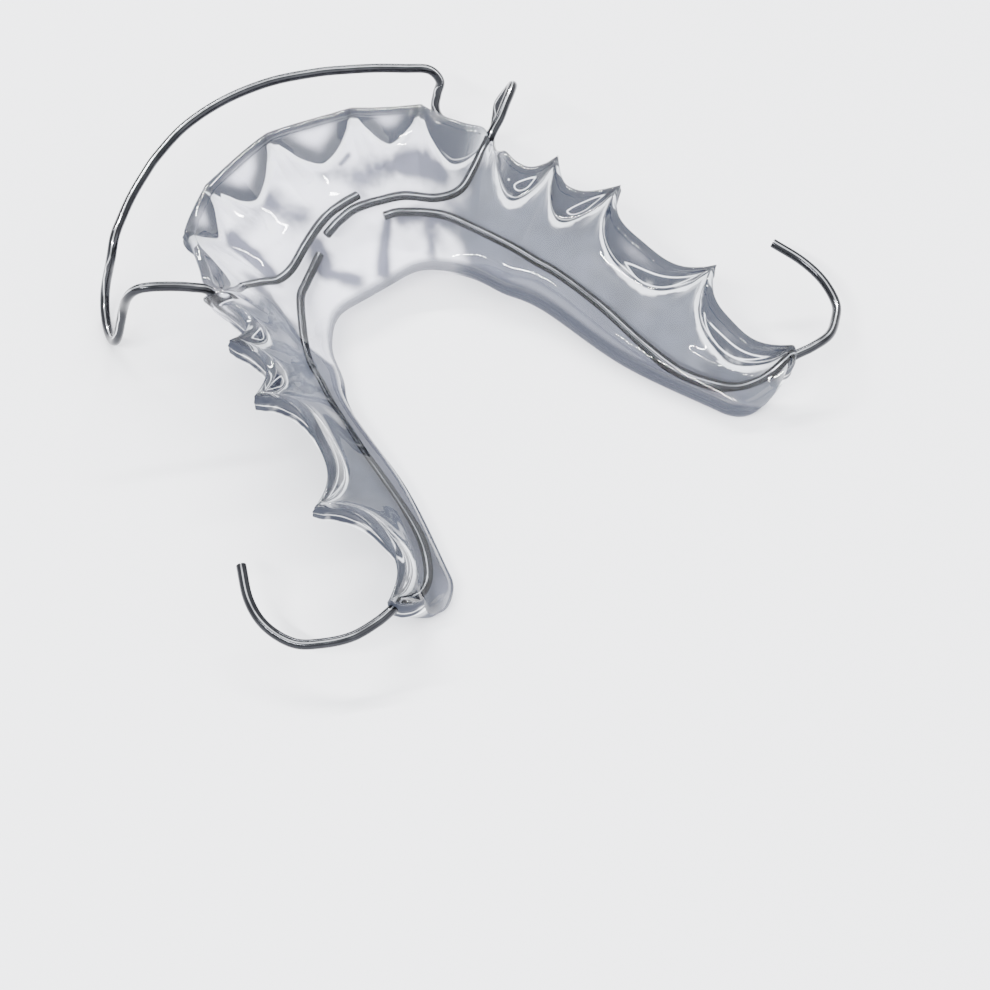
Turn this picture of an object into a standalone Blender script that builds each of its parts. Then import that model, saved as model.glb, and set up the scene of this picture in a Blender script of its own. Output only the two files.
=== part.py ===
"""Upper retainer: a clear acrylic horseshoe base, a labial bow and two molar clasps.

The biting side of the teeth is up (+Z), the front of the mouth is +Y and the wearer's left is +X.
Every shape is laid out along the arch in three numbers:
  station  counts teeth from the midline, so 0 is between the two central incisors, 1 is between
           central and lateral incisor, 7 is behind the second molar, and the right side is negative
  inset    runs in millimetres from the contacts between the teeth towards the palate,
           and is negative in front of the teeth
  depth    runs in millimetres down from the cusp plane
"""
import math
from collections import namedtuple

import bmesh
import bpy
import numpy as np

# Sizes are in millimetres and MM turns them into metres.
MM = 0.001

# The wires
WIRE_DIAMETER = 0.8
WIRE_CLEARANCE = 0.15     # between a wire and its channel in the acrylic
WIRE_SIDE_GAP = 0.15      # between two wires that lie side by side
WIRE_BEND = 1.2           # room for a bend between two straight runs
WIRE_STEP = 2.2           # length of a straight piece of wire between two rings
WIRE_TURN = 18.0          # degrees of bend between two rings
TAG_INSET = 11.1          # where the end of the right tag crosses the midline
RUN_OUT = 3               # places of a clasp arm that its channel follows out of the acrylic
BOW_DEPTH = 4.6           # height of the bow on the front teeth
LOOP_FRONT = 2.32         # stations of the two limbs of the canine loop
LOOP_REAR = 2.96
LOOP_DEPTH = 11.6         # how far the canine loop reaches down
LOOP_OFFSET = 2.75        # how far the loop stands in front of the contacts at the bow
LOOP_LEAN = 0.09          # how much further out it stands per millimetre down
CROSSING_DEPTH = 1.95     # where the bow crosses between canine and premolar

# The acrylic
EDGE_THICKNESS = 0.9      # upper edge against the teeth
BODY_THICKNESS = 2.2      # over the wires
PAPILLA_LEAN = 0.6        # how far the gum between two teeth stands in from the upper edge
WALL_ROUNDING = 0.15      # how far the back of a tooth bulges into the acrylic
GUM_SCALLOP = 2.2         # roundness of the gum line
PALATE_START = 0.36       # where the palate starts, as a share of the way from gum to crest
PALATE_STEEPNESS = 1.25   # how much faster it falls up to there than on a straight line
RIDGE_INSET_SHARE = 0.28  # where the polished side's ridge lies, from the upper edge to the crest
SHOULDER_SHARE = 0.72     # where the shoulder of the inner edge lies, from the crest on
EDGE_UNDERCUT = 0.1       # the rolled inner edge stands over its foot by this much
HEEL_BEHIND = 1.5         # acrylic behind the last contact
HEEL_CORNER = 2.0         # radius of the heel's corners seen from above
HEEL_ROUNDING = 0.9       # radius of its rim
HEEL_TURNS = (0.0, 28.0, 46.0, 60.0, 73.0, 86.0)    # degrees round the corner of its sections
SECTIONS_PER_TOOTH = (6, 6, 7, 7, 7, 9, 9)
POINTS_PER_SPAN = 2       # of a section's outline
CURVE_STEPS = 24          # between two places of a route or outline when it is measured

# One row for each tooth from the midline back, on either side. The heading is in degrees away
# from straight sideways. The bulge is how far the tooth's back stands in from its contacts, and
# the squareness is the power that shapes it. The other sizes hold at the middle of the tooth.
Tooth = namedtuple("Tooth", "name width heading bulge squareness edge_drop gum_depth gum_lean"
                            " crease_drop crease_lean")
TEETH = (
    Tooth("central incisor", 8.95, 11.5, 0.1, 2.0, 0.2, 7.3, 3.3, 2.0, 2.6),
    Tooth("lateral incisor", 6.72, 33.0, 0.2, 2.0, 0.3, 7.2, 3.4, 2.0, 2.6),
    Tooth("canine", 7.69, 62.0, 0.7, 2.2, 0.3, 7.1, 2.8, 1.5, 2.6),
    Tooth("first premolar", 6.78, 72.7, 2.3, 2.4, 0.6, 6.6, 1.5, 1.5, 1.2),
    Tooth("second premolar", 6.71, 71.5, 2.1, 2.4, 0.8, 6.4, 1.4, 1.6, 1.2),
    Tooth("first molar", 10.6, 81.0, 3.0, 3.6, 0.3, 6.3, 1.6, 1.9, 1.4),
    Tooth("second molar", 9.55, 82.0, 2.9, 3.2, 0.0, 7.0, 1.4, 1.5, 1.3),
)
LAST = len(TEETH)

# One value for each contact between two teeth, from the midline back to behind the last molar
SPOKE_ANGLE = (0.0, 19.4, 34.2, 49.9, 63.8, 79.0, 86.6, 88.8)
TOP_INSET = (3.0, 3.1, 3.2, 3.0, 2.9, 2.8, 2.4, 3.4)
TOP_DEPTH = (3.8, 3.8, 3.3, 2.4, 1.9, 1.7, 3.5, 4.7)
RIDGE_DEPTH_SHARE = (0.28, 0.28, 0.28, 0.1, 0.28, 0.28, 0.28, 0.28)
PAPILLA_DROP = (1.3, 1.3, 1.4, 1.8, 1.4, 1.5, 1.3, 1.7)
CREST_INSET = (11.8, 11.6, 11.0, 10.3, 9.9, 10.0, 10.1, 7.4)
CREST_DEPTH = (6.2, 6.2, 6.2, 6.1, 6.0, 6.0, 6.6, 6.6)
SHOULDER_DROP = (0.7, 0.7, 0.65, 0.55, 0.45, 0.4, 0.4, 0.4)
INNER_INSET = (18.2, 17.4, 16.2, 13.7, 12.4, 11.9, 11.8, 10.0)
INNER_DEPTH = (9.4, 9.4, 9.4, 9.5, 9.7, 9.8, 9.6, 9.0)
INNER_THICKNESS = (0.9, 0.9, 1.0, 1.2, 1.4, 1.5, 1.5, 1.5)

WIRE_RADIUS = WIRE_DIAMETER / 2
CHANNEL_RADIUS = WIRE_RADIUS + WIRE_CLEARANCE
WIRE_PITCH = WIRE_DIAMETER + WIRE_SIDE_GAP
HEEL = LAST + HEEL_BEHIND / TEETH[-1].width

# Routes of the wires as stations, insets and depths. The bow's front span lies at its own depth,
# and a tag or tail with no depth lies midway between the two sides of the acrylic.
BOW_SPAN = ((0.0, -2.5), (0.45, -2.5), (0.87, -2.2), (1.2, -1.95), (1.55, -1.9), (1.9, -2.1),
            (2.18, -2.55))
CROSSING = ((3.04, -2.75, 3.7), (3.08, -2.2, 2.4), (3.08, -1.1, CROSSING_DEPTH),
            (3.05, 0.7, CROSSING_DEPTH), (3.02, 2.3, 2.15), (2.96, 3.6, 2.7))
LEFT_TAG = ((2.91, 4.6), (2.81, 6.4), (2.64, 8.3), (2.25, 10.0), (1.46, 10.75),
            (0.62, TAG_INSET - 0.85 + WIRE_PITCH), (0.2, TAG_INSET - 0.25 + WIRE_PITCH),
            (-0.2, TAG_INSET + 0.3 + WIRE_PITCH))
RIGHT_TAG = ((-2.86, 4.9), (-2.68, 6.3), (-2.4, 7.7), (-2.08, 9.7), (-1.75, 11.3), (-1.25, 12.1),
             (-0.6, 11.8), (0.0, TAG_INSET), (0.36, TAG_INSET - 0.5), (0.69, TAG_INSET - 0.95))
LEFT_TAIL_END = ((0.96, 12.4), (1.41, 12.2), (2.3, 11.3), (2.9, 10.6))
RIGHT_TAIL_END = ((0.55, 13.15), (1.0, 13.55), (1.4, 13.65), (1.9, 13.35), (2.75, 11.9))
TAIL = ((3.8, 9.9), (4.5, 9.95), (5.0, 10.0), (5.5, 10.05), (6.0, 10.3), (6.4, 10.2), (6.7, 9.4),
        (6.9, 8.1), (7.0, 5.9))
CLASP_ARM = ((7.04, 4.0, 5.55), (7.08, 2.0, 5.3), (7.06, -0.3, 5.6), (6.95, -2.4, 6.1),
             (6.8, -4.2, 6.4), (6.55, -5.3, 6.3), (6.3, -5.35, 5.9), (6.04, -4.5, 5.2))


def catmull_rom(p0, p1, p2, p3, t):
    """Point at t, from 0 to 1, of the smooth curve that runs from p1 to p2."""
    return 0.5 * (2 * p1 + (p2 - p0) * t + (2 * p0 - 5 * p1 + 4 * p2 - p3) * t ** 2
                  + (3 * p1 - p0 - 3 * p2 + p3) * t ** 3)


def along_arch(values, station, mirrored=1.0):
    """A value given at each contact, read smoothly at any station of the left side."""
    values = np.asarray(values, float)
    beyond = 2 * values[-1] - values[-2]
    row = np.concatenate([[values[1] * mirrored], values, [beyond, 2 * beyond - values[-1]]])
    first = np.clip(np.floor(station).astype(int), 0, LAST)
    t = station - first
    if row.ndim > 1:
        t = t[..., None]
    return catmull_rom(row[first], row[first + 1], row[first + 2], row[np.minimum(first + 3, LAST + 3)], t)


def contact_points():
    """Contacts of the left side, reached by stepping from tooth to tooth."""
    points = [np.zeros(2)]
    for tooth in TEETH:
        heading = math.radians(tooth.heading)
        points.append(points[-1] + tooth.width * np.array([math.cos(heading), -math.sin(heading)]))
    return np.array(points)


def arch_to_model(station, inset, depth):
    """Points in millimetres for stations, insets and depths of any array shape."""
    station = np.asarray(station, float)
    inset = np.asarray(inset, float)
    depth = np.asarray(depth, float)
    side = np.where(station < 0, -1.0, 1.0)
    contact = along_arch(contact_points(), abs(station), np.array([-1.0, 1.0]))
    angle = np.radians(along_arch(SPOKE_ANGLE, abs(station), -1.0))
    x = side * (contact[..., 0] - inset * np.sin(angle))
    y = contact[..., 1] - inset * np.cos(angle)
    return np.stack([x, y, -depth], -1)


def tooth_shape(station):
    """Rows of tooth sizes at the stations, and how far each is into the tooth's bulge and scallop."""
    index = np.clip(np.ceil(station).astype(int) - 1, 0, LAST - 1)
    across = np.clip(station - index, 0.0, 1.0)
    off_centre = abs(2 * across - 1)
    sizes = {field: np.array([getattr(tooth, field) for tooth in TEETH])[index]
             for field in Tooth._fields[1:]}
    return sizes, 1 - off_centre ** sizes["squareness"], 1 - off_centre ** GUM_SCALLOP


def tissue_side(station):
    """Inset and depth of the points that shape the side against teeth, gum and palate."""
    station = abs(station)
    tooth, bulge, scallop = tooth_shape(station)
    top = along_arch(TOP_INSET, station) + tooth["bulge"] * bulge
    top_depth = along_arch(TOP_DEPTH, station) + tooth["edge_drop"] * bulge
    papilla_depth = along_arch(TOP_DEPTH, station) + along_arch(PAPILLA_DROP, station)
    gum = top + PAPILLA_LEAN + (tooth["gum_lean"] - PAPILLA_LEAN) * scallop
    gum_depth = papilla_depth + (tooth["gum_depth"] - papilla_depth) * scallop
    wall = (top + gum) / 2 + WALL_ROUNDING * scallop
    wall_depth = (top_depth + gum_depth) / 2
    crest = along_arch(CREST_INSET, station)
    crest_depth = along_arch(CREST_DEPTH, station) + BODY_THICKNESS
    palate = gum + PALATE_START * (crest - gum)
    palate_depth = gum_depth + PALATE_START * PALATE_STEEPNESS * (crest_depth - gum_depth)
    inner = along_arch(INNER_INSET, station)
    inner_depth = along_arch(INNER_DEPTH, station)
    inset = np.stack([top, wall, gum, palate, crest, (crest + inner) / 2, inner], -1)
    depth = np.stack([top_depth, wall_depth, gum_depth, palate_depth, crest_depth,
                      (crest_depth + inner_depth) / 2, inner_depth], -1)
    return inset, depth


def polished_side(station):
    """Inset and depth of the points that shape the side that faces the tongue."""
    station = abs(station)
    tooth, bulge, scallop = tooth_shape(station)
    top = along_arch(TOP_INSET, station) + tooth["bulge"] * bulge + EDGE_THICKNESS
    top_depth = along_arch(TOP_DEPTH, station) + tooth["edge_drop"] * bulge
    crest = along_arch(CREST_INSET, station)
    crest_depth = along_arch(CREST_DEPTH, station)
    ridge = top + RIDGE_INSET_SHARE * (crest - top)
    ridge_depth = top_depth + along_arch(RIDGE_DEPTH_SHARE, station) * (crest_depth - top_depth)
    crease = ridge + (top + tooth["crease_lean"] - ridge) * scallop
    crease_depth = ridge_depth + (top_depth + tooth["crease_drop"] - ridge_depth) * scallop
    inner = along_arch(INNER_INSET, station) + EDGE_UNDERCUT
    inner_depth = along_arch(INNER_DEPTH, station) - along_arch(INNER_THICKNESS, station)
    shoulder = crest + SHOULDER_SHARE * (inner - crest)
    shoulder_depth = crest_depth + along_arch(SHOULDER_DROP, station) * (inner_depth - crest_depth)
    inset = np.stack([top, (top + crease) / 2, crease, (crease + crest) / 2, crest, shoulder,
                      inner], -1)
    depth = np.stack([top_depth, (top_depth + crease_depth) / 2, crease_depth,
                      (crease_depth + crest_depth) / 2, crest_depth, shoulder_depth, inner_depth], -1)
    return inset, depth


def smooth_row(row, steps):
    """A smooth row of points through the points of the last axis, with steps between each two."""
    ends = 2 * row[..., :1] - row[..., 1:2], 2 * row[..., -1:] - row[..., -2:-1]
    row = np.concatenate([ends[0], row, ends[1]], -1)
    t = np.arange(steps) / steps
    spans = [catmull_rom(*(row[..., i + k, None] for k in range(4)), t)
             for i in range(row.shape[-1] - 3)]
    return np.concatenate(spans + [row[..., -2:-1]], -1)


def depth_at(side, station, inset):
    """Depth of one side of the acrylic under a given inset."""
    insets, depths = (smooth_row(row, CURVE_STEPS)[0] for row in side(np.array([float(station)])))
    order = np.argsort(insets)
    return float(np.interp(inset, insets[order], depths[order]))


def buried_depth(station, inset):
    """Depth halfway between the two sides of the acrylic."""
    return (depth_at(tissue_side, station, inset) + depth_at(polished_side, station, inset)) / 2


def section_stations():
    """Stations of the sections from the right heel to the left one, with one at each contact."""
    half = [index + step / count for index, count in enumerate(SECTIONS_PER_TOOTH)
            for step in range(count)]
    reach = HEEL_CORNER / TEETH[-1].width
    half = np.array(half + list(HEEL - reach * (1 - np.sin(np.radians(HEEL_TURNS)))))
    return np.concatenate([-half[:0:-1], half])


def heel_round(station, radius):
    """Share of the radius that a rounding of the heel leaves: 1 before it and 0 at its end."""
    reach = radius / TEETH[-1].width
    into = np.clip((abs(station) - HEEL + reach) / reach, 0.0, 1.0)
    return np.sqrt(1 - into ** 2)


def build_mesh(name, points, faces):
    mesh = bpy.data.meshes.new(name)
    mesh.from_pydata((points * MM).tolist(), [], faces)
    bm = bmesh.new()
    bm.from_mesh(mesh)
    bmesh.ops.recalc_face_normals(bm, faces=bm.faces)
    bm.to_mesh(mesh)
    bm.free()
    mesh.shade_smooth()
    mesh.set_sharp_from_angle(angle=math.radians(40))
    return mesh


def acrylic_mesh():
    """Closed loft of a different section at every station, with its two heels rounded off."""
    stations = section_stations()
    tissue = np.stack([smooth_row(row, POINTS_PER_SPAN) for row in tissue_side(stations)], -1)
    polished = np.stack([smooth_row(row, POINTS_PER_SPAN) for row in polished_side(stations)], -1)
    middle = (tissue + polished) / 2
    thickness = heel_round(stations, HEEL_ROUNDING)[:, None, None]
    rings = np.concatenate([middle + (tissue - middle) * thickness,
                            (middle + (polished - middle) * thickness)[:, ::-1]], 1)
    outer, inner = middle[:, :1, 0], middle[:, -1:, 0]
    centre, half_width = (outer + inner) / 2, (inner - outer) / 2
    corner = HEEL_CORNER / half_width * (1 - heel_round(stations, HEEL_CORNER)[:, None])
    rings[..., 0] = centre + (rings[..., 0] - centre) * (1 - corner)
    points = arch_to_model(stations[:, None], rings[..., 0], rings[..., 1])
    ring_size = points.shape[1]
    faces = []
    for ring in range(len(stations) - 1):
        for corner in range(ring_size):
            beside = (corner + 1) % ring_size
            near, far = ring * ring_size, (ring + 1) * ring_size
            faces.append((near + corner, near + beside, far + beside, far + corner))
    for start in (0, (len(stations) - 1) * ring_size):
        for corner in range(ring_size // 2 - 1):
            across = ring_size - 1 - corner
            faces.append((start + corner, start + corner + 1, start + across - 1, start + across))
    return build_mesh("acrylic_baseplate", points.reshape(-1, 3), faces)


def wire_route(places):
    """Points in millimetres of a route of (station, inset) or (station, inset, depth)."""
    route = [(place[0], place[1], place[2] if len(place) > 2 else buried_depth(*place))
             for place in places]
    return arch_to_model(*np.array(route).T)


def loop_places():
    """The canine loop: down the front limb, round the bottom in a half circle and up the rear limb."""
    middle, half = (LOOP_FRONT + LOOP_REAR) / 2, (LOOP_REAR - LOOP_FRONT) / 2
    radius = half * TEETH[2].width
    round_depth = LOOP_DEPTH - radius
    limb_depth = BOW_DEPTH + WIRE_BEND
    turns = np.radians(np.linspace(0.0, 180.0, 7))
    places = [(LOOP_FRONT, limb_depth), (LOOP_FRONT, (limb_depth + round_depth) / 2)]
    places += [(middle - half * math.cos(turn), round_depth + radius * math.sin(turn)) for turn in turns]
    places += [(LOOP_REAR, (limb_depth + round_depth) / 2), (LOOP_REAR, limb_depth)]
    return [(station, -LOOP_OFFSET - LOOP_LEAN * (depth - BOW_DEPTH), depth) for station, depth in places]


def smooth_wire(points):
    """The route as a smooth curve, with rings closer together where the wire bends."""
    dense = smooth_row(points.T, CURVE_STEPS).T
    runs = np.diff(dense, axis=0)
    lengths = np.linalg.norm(runs, axis=1)
    directions = runs / lengths[:, None]
    cosines = np.clip((directions[:-1] * directions[1:]).sum(1), -1.0, 1.0)
    bends = np.concatenate([[0.0], np.degrees(np.arccos(cosines))])
    travelled = np.concatenate([[0.0], np.cumsum(lengths / WIRE_STEP + bends / WIRE_TURN)])
    marks = np.linspace(0.0, travelled[-1], math.ceil(travelled[-1]) + 1)
    return np.stack([np.interp(marks, travelled, axis) for axis in dense.T], -1)


def tube(name, points, radius):
    """Curve object of a round bar with closed ends that follows the points."""
    curve = bpy.data.curves.new(name, "CURVE")
    curve.dimensions = "3D"
    curve.bevel_depth = radius * MM
    curve.bevel_resolution = 2
    curve.use_fill_caps = True
    spline = curve.splines.new("POLY")
    spline.points.add(len(points) - 1)
    for target, point in zip(spline.points, points * MM):
        target.co = (*point, 1.0)
        target.radius = 1.0
    spline.use_smooth = True
    return bpy.data.objects.new(name, curve)


def lengthened(points, extra):
    """The same route with its first end moved outwards by the extra length."""
    outwards = points[0] - points[1]
    start = points[0] + outwards / np.linalg.norm(outwards) * extra
    return np.concatenate([start[None], points[1:]])


def material(name, colour, roughness, metallic, transmission=0.0):
    made = bpy.data.materials.new(name)
    made.use_nodes = True
    shader = made.node_tree.nodes["Principled BSDF"]
    shader.inputs["Base Color"].default_value = (*colour, 1.0)
    shader.inputs["Roughness"].default_value = roughness
    shader.inputs["Metallic"].default_value = metallic
    shader.inputs["Transmission Weight"].default_value = transmission
    return made


def new_collection(name):
    collection = bpy.data.collections.new(name)
    bpy.context.scene.collection.children.link(collection)
    return collection


def add_piece(piece, collection, frame, finish):
    collection.objects.link(piece)
    piece.parent = frame
    piece.data.materials.append(finish)


def cut_channel(plate, name, points, cutters):
    """Cut the channel of one wire into the acrylic, from its buried end to beyond the way out."""
    bar = tube(name, lengthened(points, WIRE_CLEARANCE), CHANNEL_RADIUS)
    cutters.objects.link(bar)
    bpy.context.view_layer.update()
    solid = bpy.data.meshes.new_from_object(bar.evaluated_get(bpy.context.evaluated_depsgraph_get()))
    bm = bmesh.new()
    bm.from_mesh(solid)
    bmesh.ops.remove_doubles(bm, verts=bm.verts, dist=0.00001)
    bmesh.ops.recalc_face_normals(bm, faces=bm.faces)
    bm.to_mesh(solid)
    bm.free()
    cutter = bpy.data.objects.new(name + "_cutter", solid)
    cutter.matrix_world = bar.matrix_world
    bpy.data.objects.remove(bar)
    cutters.objects.link(cutter)
    cutter.parent = plate.parent
    cutter.hide_render = True
    cutter.display_type = "WIRE"
    cut = plate.modifiers.new(name, "BOOLEAN")
    cut.operation = "DIFFERENCE"
    cut.solver = "EXACT"
    cut.object = cutter


def model_points(pieces):
    """All corners of the finished pieces in their common frame, in metres."""
    bpy.context.view_layer.update()
    depsgraph = bpy.context.evaluated_depsgraph_get()
    corners = []
    for piece in pieces:
        mesh = piece.evaluated_get(depsgraph).to_mesh()
        flat = np.empty(len(mesh.vertices) * 3)
        mesh.vertices.foreach_get("co", flat)
        corners.append(flat.reshape(-1, 3))
    return np.concatenate(corners)


def stand_on_floor(frame, pieces):
    """Tip the frame so that loops and heels touch the floor, centred over the origin."""
    corners = model_points(pieces)
    tilt = 0.0
    for _ in range(6):
        y = corners[:, 1] * math.cos(tilt) - corners[:, 2] * math.sin(tilt)
        z = corners[:, 1] * math.sin(tilt) + corners[:, 2] * math.cos(tilt)
        ahead = y > (y.min() + y.max()) / 2
        front = np.where(ahead, z, np.inf).argmin()
        rear = np.where(ahead, np.inf, z).argmin()
        tilt -= math.atan2(z[front] - z[rear], y[front] - y[rear])
    y = corners[:, 1] * math.cos(tilt) - corners[:, 2] * math.sin(tilt)
    z = corners[:, 1] * math.sin(tilt) + corners[:, 2] * math.cos(tilt)
    frame.rotation_euler = (tilt, 0.0, 0.0)
    frame.location = (0.0, -(y.min() + y.max()) / 2, -z.min())


def main():
    for scene_object in list(bpy.data.objects):
        bpy.data.objects.remove(scene_object)
    pieces = new_collection("dental_retainer")
    cutters = new_collection("cutters")
    frame = bpy.data.objects.new("cusp_plane", None)
    pieces.objects.link(frame)

    acrylic = material("clear_acrylic", (0.62, 0.65, 0.72), 0.08, 0.0, 0.9)
    steel = material("stainless_wire", (0.55, 0.56, 0.58), 0.22, 1.0)

    left_half = [(station, inset, BOW_DEPTH) for station, inset in BOW_SPAN]
    left_half += loop_places() + list(CROSSING)
    right_half = [(-station, inset, depth) for station, inset, depth in left_half[:0:-1]]
    bow = smooth_wire(wire_route(RIGHT_TAG[::-1] + tuple(right_half) + tuple(left_half) + LEFT_TAG))
    add_piece(tube("labial_bow", bow, WIRE_RADIUS), pieces, frame, steel)

    plate = bpy.data.objects.new("acrylic_baseplate", acrylic_mesh())
    add_piece(plate, pieces, frame, acrylic)
    outside = [place for place in CROSSING if place[1] > 0]
    left_way = LEFT_TAG[::-1] + tuple(outside[::-1])
    cut_channel(plate, "left_tag_channel", smooth_wire(wire_route(left_way)), cutters)
    right_way = RIGHT_TAG[::-1] + tuple((-station, inset, depth) for station, inset, depth in outside[::-1])
    cut_channel(plate, "right_tag_channel", smooth_wire(wire_route(right_way)), cutters)

    for side, name, tail_end in ((1, "left_molar", LEFT_TAIL_END), (-1, "right_molar", RIGHT_TAIL_END)):
        places = [(side * place[0], *place[1:]) for place in tail_end + TAIL + CLASP_ARM]
        route = wire_route(places)
        add_piece(tube(name + "_clasp", smooth_wire(route), WIRE_RADIUS), pieces, frame, steel)
        channel = smooth_wire(route[:len(tail_end) + len(TAIL) + RUN_OUT])
        cut_channel(plate, name + "_channel", channel, cutters)

    stand_on_floor(frame, [piece for piece in pieces.objects if piece is not frame])


main()
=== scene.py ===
"""Dental retainer, dressed for its picture: clear acrylic base, labial bow and two molar clasps.

Every shape is laid out along the arch of teeth in three numbers:
  station  counts teeth from the midline, negative on the right side: 0 lies between the two
           central incisors and 7 behind the second molar
  inset    runs in millimetres from the contacts between the teeth towards the palate,
           and is negative in front of the teeth
  depth    runs in millimetres down from the plane of the cusps
"""
import math

import bmesh
import bpy
import numpy as np
from bpy.props import FloatProperty, FloatVectorProperty, IntProperty, PointerProperty
from mathutils import Euler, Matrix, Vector


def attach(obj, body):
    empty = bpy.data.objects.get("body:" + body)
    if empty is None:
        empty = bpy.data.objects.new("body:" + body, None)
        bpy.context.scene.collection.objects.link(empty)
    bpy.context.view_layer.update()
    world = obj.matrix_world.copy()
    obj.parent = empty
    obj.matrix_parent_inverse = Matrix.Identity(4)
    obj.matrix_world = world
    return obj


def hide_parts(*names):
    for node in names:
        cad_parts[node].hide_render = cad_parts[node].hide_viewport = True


bl_info = {
    "name": "Dental Retainer",
    "version": (1, 0, 0),
    "blender": (4, 5, 0),
    "location": "3D View > Sidebar > Retainer",
    "description": "Builds the acrylic, the wires and the stage of an upper retainer",
    "category": "Object",
}

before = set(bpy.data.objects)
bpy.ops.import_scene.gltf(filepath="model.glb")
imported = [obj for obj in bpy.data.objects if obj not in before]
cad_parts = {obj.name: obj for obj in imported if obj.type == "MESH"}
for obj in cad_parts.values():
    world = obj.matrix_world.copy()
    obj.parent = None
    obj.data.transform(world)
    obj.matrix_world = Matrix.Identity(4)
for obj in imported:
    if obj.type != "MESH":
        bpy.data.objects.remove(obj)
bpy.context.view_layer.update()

MM = 0.001
# The retainer stands on its loops and heels: the plane of the cusps leans by this angle, and the
# contact of the central incisors lies at this y and z.
LEAN_DEGREES = 4.516048
STAND_Y = 21.399362
STAND_Z = 12.536428

# One column for each tooth from the midline back: width, heading away from sideways in degrees,
# bulge of its back, squareness of the bulge, drop of the edge, depth and lean of the gum, drop and
# lean of the crease on the polished side.
TOOTH_WIDTH = np.array([8.95, 6.72, 7.69, 6.78, 6.71, 10.6, 9.55])
TOOTH_HEADING = np.array([11.5, 33.0, 62.0, 72.7, 71.5, 81.0, 82.0])
TOOTH_BULGE = np.array([0.1, 0.2, 0.7, 2.3, 2.1, 3.0, 2.9])
SQUARENESS = np.array([2.0, 2.0, 2.2, 2.4, 2.4, 3.6, 3.2])
EDGE_DROP = np.array([0.2, 0.3, 0.3, 0.6, 0.8, 0.3, 0.0])
GUM_DEPTH = np.array([7.3, 7.2, 7.1, 6.6, 6.4, 6.3, 7.0])
GUM_LEAN = np.array([3.3, 3.4, 2.8, 1.5, 1.4, 1.6, 1.4])
CREASE_DROP = np.array([2.0, 2.0, 1.5, 1.5, 1.6, 1.9, 1.5])
CREASE_LEAN = np.array([2.6, 2.6, 2.6, 1.2, 1.2, 1.4, 1.3])
# The gum's printed margin: how far below the upper edge it lies behind the middle of each tooth and
# the power of its scallop, 1 for a straight V. Last how strongly the acrylic touches that tooth.
MARGIN_REACH = np.array([4.1, 3.2, 4.0, 3.8, 3.7, 3.5, 3.0])
MARGIN_POWER = np.array([1.5, 1.35, 1.6, 1.9, 1.9, 2.3, 2.3])
TOUCH = np.array([1.0, 0.6, 0.1, 0.12, 0.12, 0.3, 0.2])
LAST = len(TOOTH_WIDTH)

# One value for each contact between two teeth, from the midline back to behind the last molar.
SPOKE_ANGLE = (0.0, 19.4, 34.2, 49.9, 63.8, 79.0, 86.6, 88.8)
TOP_INSET = (3.0, 3.1, 3.2, 3.0, 2.9, 2.8, 2.4, 3.4)
TOP_DEPTH = (3.8, 3.8, 3.3, 2.4, 1.9, 1.7, 3.5, 4.7)
RIDGE_DEPTH_SHARE = (0.28, 0.28, 0.28, 0.1, 0.28, 0.28, 0.28, 0.28)
PAPILLA_DROP = (1.3, 1.3, 1.4, 1.8, 1.4, 1.5, 1.3, 1.7)
CREST_INSET = (11.8, 11.6, 11.0, 10.3, 9.9, 10.0, 10.1, 7.4)
CREST_DEPTH = (6.2, 6.2, 6.2, 6.1, 6.0, 6.0, 6.6, 6.6)
SHOULDER_DROP = (0.7, 0.7, 0.65, 0.55, 0.45, 0.4, 0.4, 0.4)
INNER_INSET = (18.2, 17.4, 16.2, 13.7, 12.4, 11.9, 11.8, 10.0)
INNER_DEPTH = (9.4, 9.4, 9.4, 9.5, 9.7, 9.8, 9.6, 9.0)
INNER_THICKNESS = (0.9, 0.9, 1.0, 1.2, 1.4, 1.5, 1.5, 1.5)
EDGE_THICKNESS = 0.9
BODY_THICKNESS = 2.2
PAPILLA_LEAN = 0.6
WALL_ROUNDING = 0.15
GUM_SCALLOP = 2.2
PALATE_START = 0.36
PALATE_STEEPNESS = 1.25
RIDGE_INSET_SHARE = 0.28
SHOULDER_SHARE = 0.72
EDGE_UNDERCUT = 0.1
HEEL = LAST + 1.5 / TOOTH_WIDTH[-1]
HEEL_CORNER = 2.0
HEEL_ROUNDING = 0.9
INNER_RISE = 0.35

# Each side is a smooth curve through seven shaping points, which its marks count from 0.
SIDE_END = 6.0
# Sections of the acrylic, and the points round each of them: half of the upper rim, the side
# against the mouth with its wall above the gum, the inner rim, the polished side with the first
# points on which the print fades out, and the rest of the upper rim.
SECTIONS_PER_TOOTH = 38
HEEL_SECTIONS = 22
SIDE_POINTS = 66
WALL_POINTS = 26
INNER_RIM_POINTS = 10
UPPER_RIM_POINTS = 8
FADE_POINTS = 4
MOUTH_START = UPPER_RIM_POINTS // 2
MOUTH_END = MOUTH_START + SIDE_POINTS
POLISHED_START = MOUTH_END + INNER_RIM_POINTS

# Saddles that leave the crossing wires bare: station, half width, and how many shaping points below
# the upper edge each side starts there.
SADDLE_STATION = 3.03
SADDLE_WIDTH = 0.8
MOUTH_SADDLE = 1.3
POLISHED_SADDLE = 1.6
# Heights and half widths of the relief against the mouth: the swell of the gum beyond the ledge at
# its margin, the ridges between the teeth, and the folds of the palate.
LEDGE_WIDTH = 0.16
SWELL_SHARE, SWELL_WIDTH = 0.45, 2.0
RIDGE_HEIGHT, RIDGE_WIDTH = 0.3, 0.5
FOLD_HEIGHT = 0.35
# On the left side the print darkens behind this station as painted shade, within this share of a
# tooth.
REAR_STATION, REAR_FADE = 2.6, 0.9
# Values for the finish of a place that is nowhere near the gum's margin or a glint.
FAR_FROM_GUM = 30.0
FAR_FROM_GLINT = 5.0
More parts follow.
